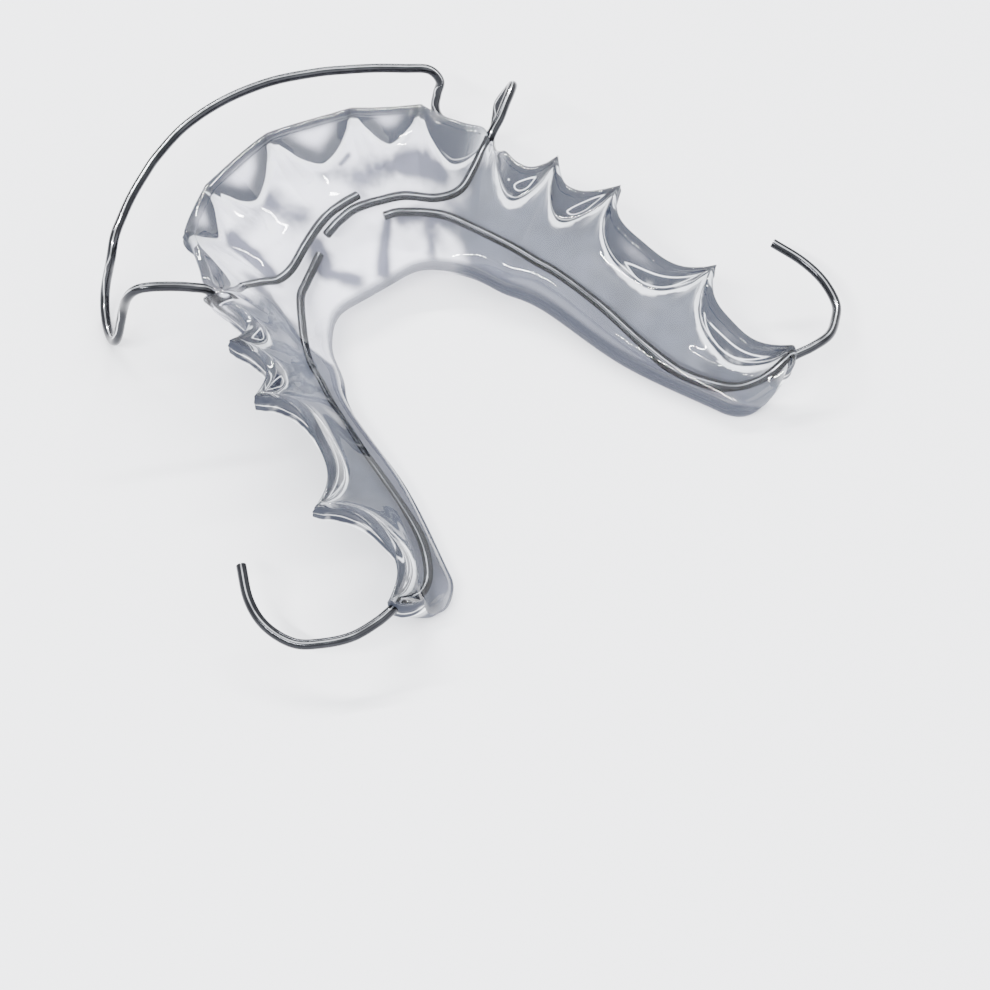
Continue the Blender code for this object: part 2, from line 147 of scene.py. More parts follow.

# Folds of the palate as station and inset of both ends, half width and strength. The relief carves
# them as grooves and the print darkens them as painted shade; the stroke from station 1.42 to 2.52
# lies along the left clasp's tail and paints its shadow.
FOLDS = (
    (0.5, 6.8, 0.91, 8.3, 1.1, 0.5), (0.91, 8.3, 1.64, 7.3, 1.4, 0.8),
    (1.64, 7.3, 2.31, 6.8, 1.4, 1.0), (0.86, 6.0, 0.73, 6.4, 0.3, 0.7),
    (-0.45, 6.4, -0.25, 9.4, 1.2, 0.9), (-1.28, 6.7, -1.41, 8.6, 1.1, 1.2),
    (-1.41, 8.6, -1.65, 10.3, 1.1, 1.3), (1.08, 12.2, 0.45, 17.0, 0.5, 0.8),
    (2.1, 11.6, 2.1, 12.8, 1.3, 0.8), (2.1, 12.6, 2.1, 14.8, 0.7, 0.8),
    (-1.2, 6.9, -0.5, 6.6, 1.0, 0.5), (-0.39, 12.0, -0.68, 14.2, 0.8, 0.9),
    (-0.68, 14.2, -0.3, 16.6, 0.7, 0.7), (1.42, 12.2, 2.52, 10.8, 0.9, 0.9),
    (-2.06, 9.1, -2.72, 10.4, 1.2, 0.8), (2.9, 5.4, 3.5, 7.0, 1.2, 0.6),
    (2.6, 9.0, 3.2, 11.6, 1.1, 0.6), (-2.9, 6.6, -3.6, 7.8, 1.0, 0.7))

# Leaf-shaped painted reflections, bright outlines in the print where light glances off the curved
# acrylic over a tooth: tooth, place along it and past the gum's margin, half length and half width.
GLINTS = ((3, 1.1, -1.9, 0.9, 0.5), (4, 1.5, -1.7, 1.2, 0.55), (5, 2.1, -1.15, 2.6, 0.6),
          (6, 0.7, -1.1, 3.1, 0.5))

# Routes of the wires as stations, insets and depths. A place with no depth lies halfway between
# the two sides of the acrylic.
BOW_DEPTH = 4.6
LOOP_FRONT, LOOP_REAR, LOOP_DEPTH = 2.32, 2.96, 11.6
LOOP_OFFSET, LOOP_LEAN = 2.75, 0.09
LOOP_SHOULDER = 1.2
WIRE_PITCH = 0.95
BOW_SPAN = ((0.0, -2.5), (0.45, -2.5), (0.87, -2.2), (1.2, -1.95), (1.55, -1.9), (1.9, -2.1),
            (2.18, -2.55))
CROSSING = ((3.04, -2.75, 3.7), (3.08, -2.2, 2.4), (3.08, -1.1, 1.95), (3.05, 0.7, 1.95),
            (3.02, 2.3, 2.15), (2.96, 3.6, 2.7))
LEFT_TAG = ((2.91, 4.6), (2.81, 6.4), (2.64, 8.3), (2.25, 10.0), (1.46, 10.75),
            (0.62, 10.25 + WIRE_PITCH), (0.2, 10.85 + WIRE_PITCH), (-0.2, 11.4 + WIRE_PITCH))
RIGHT_TAG = ((-2.86, 4.9), (-2.68, 6.3), (-2.4, 7.7), (-2.08, 9.7), (-1.75, 11.3), (-1.25, 12.1),
             (-0.6, 11.8), (0.0, 11.1), (0.36, 10.6), (0.69, 10.15))
LEFT_TAIL_END = ((0.96, 12.4), (1.41, 12.2), (2.3, 11.3), (2.9, 10.6))
RIGHT_TAIL_END = ((0.55, 13.15), (1.0, 13.55), (1.4, 13.65), (1.9, 13.35), (2.75, 11.9))
TAIL = ((3.8, 9.9), (4.5, 9.95), (5.0, 10.0), (5.5, 10.05), (6.0, 10.3), (6.4, 10.2), (6.7, 9.4),
        (6.9, 8.1), (7.0, 5.9))
CLASP_ARM = ((7.04, 4.0, 5.55), (7.08, 2.0, 5.3), (7.06, -0.3, 5.6), (6.95, -2.4, 6.1),
             (6.8, -4.2, 6.4), (6.55, -5.3, 6.3), (6.3, -5.35, 5.9), (6.04, -4.5, 5.2))
WIRE_SPACING = 0.16
# The painted highlight line along each wire faces this way.
SHINE_FROM = np.array([-0.3, -0.2, 0.93])

CAMERA_SPOT = (-0.127562, -0.133436, 0.195404)
CAMERA_TURN_DEGREES = (40.5057, -4.3765, -41.3698)
# Lights as name, place and size in metres, and share of the setting's power.
LIGHTS = (("side_strip", (-0.6, -0.16, 0.62), (0.45, 0.025), 0.6),
          ("rear_strip", (0.3, 0.6, 0.6), (0.9, 0.035), 0.85),
          ("front_soft", (0.3, -0.9, 0.7), (1.6, 0.9), 0.6))
LIGHTS_AIM = Vector((0.0, 0.0, 0.005))
FLOOR_HALF, FLOOR_CELLS = 1.5, 12


def catmull_rom(p0, p1, p2, p3, t):
    """Cubic from p1 at t = 0 to p2 at t = 1, with the slopes (p2 - p0) / 2 and (p3 - p1) / 2."""
    return 0.5 * (2 * p1 + (p2 - p0) * t + (2 * p0 - 5 * p1 + 4 * p2 - p3) * t ** 2
                  + (3 * p1 - p0 - 3 * p2 + p3) * t ** 3)


def along_arch(values, station, mirrored=1.0):
    """A value given at each contact, read on the cubic through them at stations of the left side.

    Before the midline the row goes on with its own mirror image, and behind the last molar with
    its last step, repeated.
    """
    values = np.asarray(values, float)
    beyond = 2 * values[-1] - values[-2]
    row = np.concatenate([[values[1] * mirrored], values, [beyond, 2 * beyond - values[-1]]])
    first = np.clip(np.floor(station).astype(int), 0, LAST)
    t = station - first
    if row.ndim > 1:
        t = t[..., None]
    return catmull_rom(row[first], row[first + 1], row[first + 2],
                       row[np.minimum(first + 3, LAST + 3)], t)


def contact_points():
    """Contacts of the left side: each lies one tooth width from the last, along its heading."""
    heading = np.radians(TOOTH_HEADING)
    steps = TOOTH_WIDTH[:, None] * np.stack([np.cos(heading), -np.sin(heading)], -1)
    return np.concatenate([[[0.0, 0.0]], np.cumsum(steps, 0)])


def place(station, inset, depth):
    """Points in metres on the stage for stations, insets and depths of any array shape.

    The contact at the station, plus the inset along the spoke, minus the depth, leant about the
    sideways axis by the angle at which the retainer stands.
    """
    station, inset, depth = np.broadcast_arrays(
        *(np.asarray(value, float) for value in (station, inset, depth)))
    contact = along_arch(contact_points(), abs(station), np.array([-1.0, 1.0]))
    angle = np.radians(along_arch(SPOKE_ANGLE, abs(station), -1.0))
    x = np.where(station < 0, -1.0, 1.0) * (contact[..., 0] - inset * np.sin(angle))
    y = contact[..., 1] - inset * np.cos(angle)
    lean = math.radians(LEAN_DEGREES)
    world = [x, y * math.cos(lean) + depth * math.sin(lean) + STAND_Y,
             y * math.sin(lean) - depth * math.cos(lean) + STAND_Z]
    return np.stack(world, -1) * MM


def smooth_row(row, marks):
    """The cubic through the points of the last axis, read at the marks, which count its points."""
    ends = 2 * row[..., :1] - row[..., 1:2], 2 * row[..., -1:] - row[..., -2:-1]
    row = np.concatenate([ends[0], row, ends[1]], -1)
    marks = np.broadcast_to(marks, (*row.shape[:-1], marks.shape[-1]))
    first = np.clip(np.floor(marks).astype(int), 0, row.shape[-1] - 4)
    near = (np.take_along_axis(row, first + step, -1) for step in range(4))
    return catmull_rom(*near, marks - first)


def smooth_side(side, station, marks):
    """Insets and depths of one side of the acrylic at the stations and marks."""
    return np.stack([smooth_row(row, marks) for row in side(station)], -1)


def travelled(curve):
    """Way along each curve from its first point, in the units of the curve."""
    steps = np.linalg.norm(np.diff(curve, axis=1, prepend=curve[:, :1]), axis=-1)
    return np.cumsum(steps, 1)


def bell(distance, width):
    """1 at no distance, falling off as the exponential of minus the squared share of the width."""
    return np.exp(-(distance / width) ** 2)


def ease(value, low, high):
    """0 below low and 1 above high, with the cubic 3 t^2 - 2 t^3 between them."""
    t = np.clip((value - low) / (high - low), 0.0, 1.0)
    return t * t * (3 - 2 * t)


def tooth_shape(station):
    """Tooth number, place across it from 0 to 1, its bulge and its gum's scallop, at stations."""
    index = np.clip(np.ceil(station).astype(int) - 1, 0, LAST - 1)
    across = np.clip(station - index, 0.0, 1.0)
    off_centre = abs(2 * across - 1)
    return index, across, 1 - off_centre ** SQUARENESS[index], 1 - off_centre ** GUM_SCALLOP


def tissue_side(station):
    """Inset and depth of the points that shape the side against teeth, gum and palate."""
    station = abs(station)
    index, _, bulge, scallop = tooth_shape(station)
    top = along_arch(TOP_INSET, station) + TOOTH_BULGE[index] * bulge
    top_depth = along_arch(TOP_DEPTH, station) + EDGE_DROP[index] * bulge
    papilla_depth = along_arch(TOP_DEPTH, station) + along_arch(PAPILLA_DROP, station)
    gum = top + PAPILLA_LEAN + (GUM_LEAN[index] - PAPILLA_LEAN) * scallop
    gum_depth = papilla_depth + (GUM_DEPTH[index] - papilla_depth) * scallop
    wall = (top + gum) / 2 + WALL_ROUNDING * scallop
    crest = along_arch(CREST_INSET, station)
    crest_depth = along_arch(CREST_DEPTH, station) + BODY_THICKNESS
    palate = gum + PALATE_START * (crest - gum)
    palate_depth = gum_depth + PALATE_START * PALATE_STEEPNESS * (crest_depth - gum_depth)
    inner = along_arch(INNER_INSET, station)
    inner_depth = along_arch(INNER_DEPTH, station)
    inset = np.stack([top, wall, gum, palate, crest, (crest + inner) / 2, inner], -1)
    depth = np.stack([top_depth, (top_depth + gum_depth) / 2, gum_depth, palate_depth, crest_depth,
                      (crest_depth + inner_depth) / 2, inner_depth], -1)
    return inset, depth


def polished_side(station):
    """Inset and depth of the points that shape the side that faces the tongue."""
    station = abs(station)
    index, _, bulge, scallop = tooth_shape(station)
    top = along_arch(TOP_INSET, station) + TOOTH_BULGE[index] * bulge + EDGE_THICKNESS
    top_depth = along_arch(TOP_DEPTH, station) + EDGE_DROP[index] * bulge
    crest = along_arch(CREST_INSET, station)
    crest_depth = along_arch(CREST_DEPTH, station)
    ridge = top + RIDGE_INSET_SHARE * (crest - top)
    ridge_depth = top_depth + along_arch(RIDGE_DEPTH_SHARE, station) * (crest_depth - top_depth)
    crease = ridge + (top + CREASE_LEAN[index] - ridge) * scallop
    crease_depth = ridge_depth + (top_depth + CREASE_DROP[index] - ridge_depth) * scallop
    inner = along_arch(INNER_INSET, station) + EDGE_UNDERCUT
    inner_depth = along_arch(INNER_DEPTH, station) - along_arch(INNER_THICKNESS, station)
    shoulder = crest + SHOULDER_SHARE * (inner - crest)
    shoulder_depth = crest_depth + along_arch(SHOULDER_DROP, station) * (inner_depth - crest_depth)
    inset = np.stack([top, (top + crease) / 2, crease, (crease + crest) / 2, crest, shoulder,
                      inner], -1)
    depth = np.stack([top_depth, (top_depth + crease_depth) / 2, crease_depth,
                      (crease_depth + crest_depth) / 2, crest_depth, shoulder_depth,
                      inner_depth], -1)
    return inset, depth


def heel_round(station, radius):
    """Share of the radius that a rounding of the heel leaves: 1 before it and 0 at its end."""
    reach = radius / TOOTH_WIDTH[-1]
    into = np.clip((abs(station) - HEEL + reach) / reach, 0.0, 1.0)
    return np.sqrt(1 - into ** 2)


def acrylic_stations():
    """Stations of the sections from the right heel to the left one, with one at each contact and
    closer together at the heels."""
    reach = HEEL_CORNER / TOOTH_WIDTH[-1]
    start = HEEL - reach
    body = np.arange(0.0, LAST - 1, 1 / SECTIONS_PER_TOOTH)
    last = np.linspace(LAST - 1, start, round(SECTIONS_PER_TOOTH * (start - LAST + 1)),
                       endpoint=False)
    turns = np.radians(np.linspace(0.0, 89.0, HEEL_SECTIONS))
    half = np.concatenate([body, last, HEEL - reach * (1 - np.sin(turns))])
    return np.concatenate([-half[:0:-1], half])


def gum_margin(station):
    """Tooth number, place across it, and how far below the upper edge the gum's margin lies.

    From the papilla at the contacts it reaches down to MARGIN_REACH behind the middle of the tooth,
    by 1 minus the distance from the middle to the power MARGIN_POWER.
    """
    index, across = (row[:, None] for row in tooth_shape(abs(station))[:2])
    papilla = along_arch(PAPILLA_DROP, abs(station))[:, None]
    scallop = 1 - abs(2 * across - 1) ** MARGIN_POWER[index]
    return index, across, papilla + (MARGIN_REACH[index] - papilla) * scallop


def beside_crossing(station, middle, width):
    """Bell of each section's distance from where the bow crosses in front of the first premolar."""
    return bell((abs(station)[:, None] - middle) * TOOTH_WIDTH[3], width)


def marks_on_mouth_side(margin, station, start):
    """Marks along the mouth's side from the start: one lies on the gum's margin, and the others
    crowd on both sides of it as a power of their share."""
    fine = np.linspace(0.0, SIDE_END, 121)
    way = travelled(smooth_side(tissue_side, station, fine))
    before = (way < margin).sum(1, keepdims=True) - 1
    low, high = (np.take_along_axis(way, before + step, 1) for step in (0, 1))
    at = (before + (margin - low) / (high - low)) * fine[1]
    wall = 1 - np.linspace(1.0, 0.0, WALL_POINTS) ** 1.7
    rest = np.linspace(0.0, 1.0, SIDE_POINTS - WALL_POINTS + 1)[1:] ** 1.6
    return np.concatenate([start + (at - start) * wall, at + (SIDE_END - at) * rest], 1)


def rim(first, last, outwards, rise, count):
    """Half ellipse of points between two edges, swelling outwards by the rise halfway."""
    turn = np.radians((np.arange(count) + 0.5) * 180.0 / count)
    half = (first - last) / 2
    middle = (first + last) / 2
    swell = np.sin(turn)[None, :, None] * np.asarray(outwards) * rise
    return middle[:, None] + half[:, None] * np.cos(turn)[None, :, None] + swell


def acrylic_sections(station, margin, saddle, edge_rise):
    """Insets and depths round the closed section at every station, and the way round it.

    A section is the smooth curve through the shaping points of the side against the mouth, half an
    ellipse round the inner edge, the curve of the polished side and half an ellipse over the upper
    edge. At a saddle both sides start lower down. Towards a heel the section shrinks to its middle
    line, and its outer and inner end draw together, both as the root of 1 - t^2.
    """
    marks = marks_on_mouth_side(margin, station, MOUTH_SADDLE * saddle)
    tissue = smooth_side(tissue_side, station, marks)
    start = POLISHED_SADDLE * saddle
    marks = start + (SIDE_END - start) * np.linspace(0.0, 1.0, SIDE_POINTS)
    polished = smooth_side(polished_side, station, marks)
    inner_rim = rim(tissue[:, -1], polished[:, -1], (1.0, 0.0), INNER_RISE, INNER_RIM_POINTS)
    upper_rim = rim(polished[:, 0], tissue[:, 0], (0.0, -1.0), edge_rise, UPPER_RIM_POINTS)
    loop = np.concatenate([upper_rim[:, MOUTH_START:], tissue, inner_rim, polished[:, ::-1],
                           upper_rim[:, :MOUTH_START]], 1)
    way = travelled(loop)
    middle = (loop + loop[:, ::-1]) / 2
    loop = middle + (loop - middle) * heel_round(station, HEEL_ROUNDING)[:, None, None]
    opposite = loop.shape[1] // 2
    outer, inner = middle[:, :1, 0], middle[:, opposite:opposite + 1, 0]
    centre, half_width = (outer + inner) / 2, (inner - outer) / 2
    corner = HEEL_CORNER / half_width * (1 - heel_round(station, HEEL_CORNER)[:, None])
    loop[..., 0] = centre + (loop[..., 0] - centre) * (1 - corner)
    return loop, way


def mouth_normals(points):
    """Unit normals of the sections' surface: the cross product of the steps along and round it,
    turned over if on the mouth's side it points towards the polished side."""
    along, around = np.gradient(points, axis=0), np.roll(points, -1, 1) - np.roll(points, 1, 1)
    normal = np.cross(along, around)
    normal /= np.maximum(np.linalg.norm(normal, axis=-1, keepdims=True), 1e-12)
    polished = points[:, POLISHED_START:POLISHED_START + SIDE_POINTS]
    outwards = points[:, MOUTH_START:MOUTH_END] - polished[:, ::-1]
    return normal if (normal[:, MOUTH_START:MOUTH_END] * outwards).sum() > 0 else -normal


def mouth_share(shape):
    """1 on the side against the mouth, fading out round the inner and the upper rim."""
    share = np.zeros(shape)
    share[:, MOUTH_START:MOUTH_END] = 1.0
    # Round the inner rim and on the first points of the polished side, the print paints the dark
    # line of shade along the inner edge.
    share[:, MOUTH_END:POLISHED_START] = np.linspace(1.0, 0.85, INNER_RIM_POINTS)
    share[:, POLISHED_START:POLISHED_START + FADE_POINTS] = np.linspace(0.75, 0.15, FADE_POINTS)
    share[:, :MOUTH_START] = np.linspace(0.0, 0.9, MOUTH_START)
    return share


def palate_folds(station, inset):
    """Depth of the palate's folds, about 1 where they are deepest: grooves along FOLDS, which also
    set the painted shade in them.

    Each fold is a straight stroke between two places, and falls off as the bell of the distance
    from it, counting a tooth as 8 mm at the contacts and less towards the middle.
    """
    tooth = 8 * (1 - inset / 26)
    deep = np.zeros(np.broadcast(station, inset).shape)
    for first_station, first_inset, last_station, last_inset, width, strength in FOLDS:
        run = (last_station - first_station) * tooth, last_inset - first_inset
        off = (station - first_station) * tooth, inset - first_inset
        share = (off[0] * run[0] + off[1] * run[1]) / (run[0] ** 2 + run[1] ** 2)
        share = np.clip(share, 0.0, 1.0)
        gap = np.hypot(off[0] - share * run[0], off[1] - share * run[1])
        deep = np.maximum(deep, strength * bell(gap, width))
    return deep


def glint_distance(along_tooth, past_gum, index):
    """Distance from the outline of the nearest leaf of GLINTS, negative inside it.

    For one leaf it is the larger of the distances from two circles, whose overlap is as long as
    twice its half length and as wide as twice its half width.
    """
    nearest = np.full(past_gum.shape, FAR_FROM_GLINT)
    for tooth, middle, height, reach, bend in GLINTS:
        radius = (reach ** 2 + bend ** 2) / (2 * bend)
        offset = radius - bend
        along, up = along_tooth - middle, past_gum - height
        leaf = np.maximum(np.hypot(along, up - offset), np.hypot(along, up + offset)) - radius
        nearest = np.where(index == tooth, np.minimum(nearest, leaf), nearest)
    return np.clip(nearest, -FAR_FROM_GLINT, FAR_FROM_GLINT)


def rearwards(station, inset):
    """How far back the finish takes a place to be, in stations of the left side.

    The print darkens behind REAR_STATION as painted shade. On the left side that border lies
    further forward in the middle insets. On the right one it is a slanting line that steps back
    twice near the inner edge, and the print darkens within a shorter way.
    """
    border = (-3.64 + 0.16 * np.minimum(inset, 10.5) - 1.3 * ease(inset, 10.3, 11.3)
              - 0.9 * ease(inset, 11.3, 12.5))
    left = station + 0.65 * ease(inset, 4.0, 6.0) * (1 - ease(inset, 11.0, 12.5))
    return np.where(station < 0, REAR_STATION + 2.6 * (border - station), left)


def acrylic_surface(edge_rise, ledge, folds):
    """Closed surface of the acrylic: its points and the values that its finish reads.

    The sections at all stations, moved on the mouth's side along the normal by the relief: the
    ledge at the gum's margin with the swell of the gum beyond it, the ridges between the teeth
    above it, and the folds of the palate in front. It fades out at the heels and the saddles.

    Of the values, tissue is the share of print on a place, past_gum the way down from the margin,
    wall the share of the way up from it to the upper edge, touch how hard the acrylic lies on the
    tooth, to_edge the way to the inner edge and to_contact the way to the next contact.
    """
    station = acrylic_stations()
    index, across, margin = gum_margin(station)
    saddle = beside_crossing(station, SADDLE_STATION, SADDLE_WIDTH)
    loop, way = acrylic_sections(station, margin, saddle, edge_rise)
    points = place(station[:, None], loop[..., 0], loop[..., 1])
    on_tissue = mouth_share(loop.shape[:2])

    on_margin = MOUTH_START + WALL_POINTS - 1
    past_gum = way - way[:, on_margin:on_margin + 1]
    past_gum = np.where(np.arange(loop.shape[1]) < POLISHED_START, past_gum, FAR_FROM_GUM)
    wall = np.clip(-past_gum / margin, 0, 1)
    inner_edge = MOUTH_END + INNER_RIM_POINTS // 2
    to_edge = way[:, inner_edge:inner_edge + 1] - way
    to_contact = np.minimum(across, 1 - across) * TOOTH_WIDTH[index]
    at_gum = 1 - ease(past_gum, 0.3, 1.5)
    deep = palate_folds(station[:, None], loop[..., 0]) * ease(past_gum, 0.2, 1.2)

    swell = SWELL_SHARE * ease(past_gum, 0.02, 0.22) * bell(past_gum, SWELL_WIDTH)
    ridge = (RIDGE_HEIGHT * bell(to_contact, RIDGE_WIDTH) * ease(-past_gum, -0.4, 0.3)
             * (1 - ease(wall, 0.6, 0.95)))
    in_front = (1 - ease(abs(station), 3, 4))[:, None]
    relief = (ledge * (bell(past_gum, LEDGE_WIDTH) + swell) + ridge
              + folds * FOLD_HEIGHT * (0.5 - deep) * ease(past_gum, 0.2, 1.5) * in_front)
    relief = relief * (on_tissue == 1.0) * heel_round(station, 3.0)[:, None]
    relief = relief * (1 - ease(saddle, 0.1, 0.6) * at_gum)
    points = points + mouth_normals(points) * relief[..., None] * MM

    from_touch = np.hypot((across - 0.5) * 3.3, (wall - 0.7) * 2.6)
    values = {
        "tissue": on_tissue * (1 - beside_crossing(station, 3.0, 1.4) * at_gum),
        "past_gum": past_gum,
        "wall": wall,
        "touch": TOUCH[index] * bell(from_touch, 0.8) * (past_gum < 0),
        "glint": glint_distance((across - 0.5) * TOOTH_WIDTH[index], past_gum, index),
        "to_edge": np.clip(to_edge, -2.0, 9.0),
        "rear": rearwards(station[:, None], loop[..., 0]),
        "to_contact": np.broadcast_to(to_contact, loop.shape[:2]),
        "fold_shade": deep,
    }
    return points, values


def grid_faces(rings, corners):
    """Quads between neighbouring rings of a closed section, each ring joined to the next."""
    ring = np.arange(rings - 1)[:, None] * corners
    corner = np.arange(corners)[None, :]
    beside = (corner + 1) % corners
    return np.stack([ring + corner, ring + corners + corner, ring + corners + beside,
                     ring + beside], -1).reshape(-1, 4)


def outward(points, faces):
    """The faces, all turned over if the volume that they enclose comes out negative."""
    flat = points.reshape(-1, 3)
    a, b, c, d = (flat[faces[:, corner]] for corner in range(4))
    volume = (a * np.cross(b, c)).sum() + (a * np.cross(c, d)).sum()
    return faces if volume > 0 else faces[:, ::-1]


def acrylic_faces(points):
    """Quads round the sections, with each heel closed by quads across its last section."""
    rings, corners = points.shape[:2]
    corner = np.arange(corners // 2 - 1)
    right = np.stack([corner, corner + 1, corners - 2 - corner, corners - 1 - corner], -1)
    left = (rings - 1) * corners + right[:, ::-1]
    return outward(points, np.concatenate([grid_faces(rings, corners), right, left]))


def wire_faces(points):
    """Quads along the bar; the first and last rings are points, so their quads close the ends."""
    return outward(points, grid_faces(*points.shape[:2]))


def depth_under(side, station, inset):
    """Depth of one side of the acrylic at a station and inset, read along its smooth outline."""
    insets, depths = smooth_side(side, np.array([station]), np.linspace(0.0, SIDE_END, 145))[0].T
    order = np.argsort(insets)
    return float(np.interp(inset, insets[order], depths[order]))


def route(places):
    """Places along the arch as an array of stations, insets and depths."""
    full = []
    for station, inset, *depth in places:
        sides = (depth_under(side, station, inset) for side in (tissue_side, polished_side))
        full.append((station, inset, depth[0] if depth else sum(sides) / 2))
    return np.array(full)


def wire_centre(places):
    """Evenly spaced points in metres on the smooth curve through the places, and the way there."""
    points = place(*route(places).T)
    marks = np.linspace(0.0, len(points) - 1, (len(points) - 1) * 40 + 1)
    dense = smooth_row(points.T, marks).T
    way = travelled(dense[None])[0]
    even = np.linspace(0.0, way[-1], round(way[-1] / (WIRE_SPACING * MM)) + 1)
    return np.stack([np.interp(even, way, axis) for axis in dense.T], -1), even


def carried_frames(centre):
    """Tangents of a path, and a cross direction that is carried along them with no twist."""
    tangent = np.gradient(centre, axis=0)
    tangent /= np.linalg.norm(tangent, axis=1, keepdims=True)
    cross = np.cross(tangent[0], (0.3, 0.2, 1.0))
    carried = []
    for direction in tangent:
        cross = cross - direction * (cross @ direction)
        cross = cross / np.linalg.norm(cross)
        carried.append(cross)
    return tangent, np.array(carried)


def wire_surface(places, diameter, chamfer, sides):
    """Round bar along a smooth path, cut square at both ends with a small chamfer.

    Each ring is centre + radius * (cross * cos + bar * sin), where cross and bar span the plane
    across the path. At an end three more rings close the bar: the cut's rim, one half way in, and
    one at the middle that is drawn together to a point. The bar's own last ring moves back by the
    chamfer.
    """
    centre, length = wire_centre(places)
    tangent, cross = carried_frames(centre)
    with_ends = np.pad(np.arange(len(centre)), 3, "edge")
    centre, length, tangent, cross = (row[with_ends] for row in (centre, length, tangent, cross))
    centre[3] += tangent[0] * chamfer * MM
    centre[-4] -= tangent[-1] * chamfer * MM
    radius = np.full(len(centre), diameter / 2)
    radius[:3] = radius[:-4:-1] = diameter / 2 * np.array([0.0, 0.5, 1.0 - 2 * chamfer / diameter])

    turn = np.linspace(0.0, 2 * math.pi, sides, endpoint=False)
    bar = np.cross(tangent, cross)
    ring = cross[:, None] * np.cos(turn)[:, None] + bar[:, None] * np.sin(turn)[:, None]
    points = centre[:, None] + ring * (radius * MM)[:, None, None]
    # Shine is how far each corner faces SHINE_FROM across the wire; the finish paints a highlight
    # line where it faces it most.
    upper = SHINE_FROM - tangent * (tangent @ SHINE_FROM)[:, None]
    upper /= np.linalg.norm(upper, axis=1, keepdims=True)
    drawn = np.broadcast_arrays(np.cos(turn), np.sin(turn), (length / MM)[:, None])
    return points, {"drawn": np.stack(drawn, -1), "shine": (ring * upper[:, None]).sum(-1)}


def bow_places():
    """Route of the labial bow from the end of its right tag to the end of its left one."""
    middle, half = (LOOP_FRONT + LOOP_REAR) / 2, (LOOP_REAR - LOOP_FRONT) / 2
    radius = half * TOOTH_WIDTH[2]
    round_depth, limb_depth = LOOP_DEPTH - radius, BOW_DEPTH + LOOP_SHOULDER
    limb = (limb_depth, (limb_depth + round_depth) / 2)
    turns = np.radians(np.linspace(0.0, 180.0, 7))
    loop = [(LOOP_FRONT, depth) for depth in limb]
    loop += [(middle - half * math.cos(turn), round_depth + radius * math.sin(turn))
             for turn in turns]
    loop += [(LOOP_REAR, depth) for depth in limb[::-1]]
    left = [(station, inset, BOW_DEPTH) for station, inset in BOW_SPAN]
    left += [(station, -LOOP_OFFSET - LOOP_LEAN * (depth - BOW_DEPTH), depth)
             for station, depth in loop]
    left += CROSSING
    right = [(-station, inset, depth) for station, inset, depth in left[:0:-1]]
    return [*RIGHT_TAG[::-1], *right, *left, *LEFT_TAG]


def clasp_places(side, tail_end):
    """Route of a molar clasp from the end of its tail to the tip of its arm, on side 1 or -1."""
    return [(side * spot[0], *spot[1:]) for spot in tail_end + TAIL + CLASP_ARM]


def merge_poles(mesh):
    """Makes one corner of those that a ring drawn to a point has in one place."""
    work = bmesh.new()
    work.from_mesh(mesh)
    bmesh.ops.remove_doubles(work, verts=work.verts, dist=1e-9)
    work.to_mesh(mesh)
    work.free()


def put_mesh(name, points, faces, finish, fields=None):
    """New object at the origin with these corners, faces and values per corner."""
    mesh = bpy.data.meshes.new(name)
    mesh.from_pydata(points.reshape(-1, 3).tolist(), [], faces.tolist())
    mesh.shade_smooth()
    for field, values in (fields or {}).items():
        kind, key = ("FLOAT_VECTOR", "vector") if values.ndim > 2 else ("FLOAT", "value")
        layer = mesh.attributes.new(field, kind, "POINT")
        layer.data.foreach_set(key, values.astype(np.float32).ravel())
    merge_poles(mesh)
    mesh.materials.append(finish)
    piece = bpy.data.objects.new(name, mesh)
    bpy.context.scene.collection.objects.link(piece)
    return piece


def stand_for(piece, node):
    """Puts a piece of the retainer in the place of its CAD node."""
    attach(piece, "root")
    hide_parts(node)


class Value:
    """Output socket of a node, so that shader maths can be written as an expression."""

    def __init__(self, nodes, socket):
        self.nodes = nodes
        self.socket = socket

    def maths(self, operation, *numbers):
        return self.nodes.add("ShaderNodeMath", {"operation": operation}, dict(enumerate(numbers)))

    def __add__(self, other):
        return self.maths("ADD", self, other)

    __radd__ = __add__

    def __sub__(self, other):
        return self.maths("SUBTRACT", self, other)

    def __rsub__(self, other):
        return self.maths("SUBTRACT", other, self)

    def __mul__(self, other):
        return self.maths("MULTIPLY", self, other)

    __rmul__ = __mul__

    def ease(self, low, high, start=0.0, end=1.0):
        """From start at low to end at high, on the cubic 3 t^2 - 2 t^3."""
        return self.nodes.add("ShaderNodeMapRange", {"interpolation_type": "SMOOTHSTEP"},
                              {0: self, 1: low, 2: high, 3: start, 4: end})

    def band(self, low, inner_low, inner_high, high):
        """0 below low and above high, and 1 between the inner two."""
        return self.ease(low, inner_low) * (1.0 - self.ease(inner_high, high))


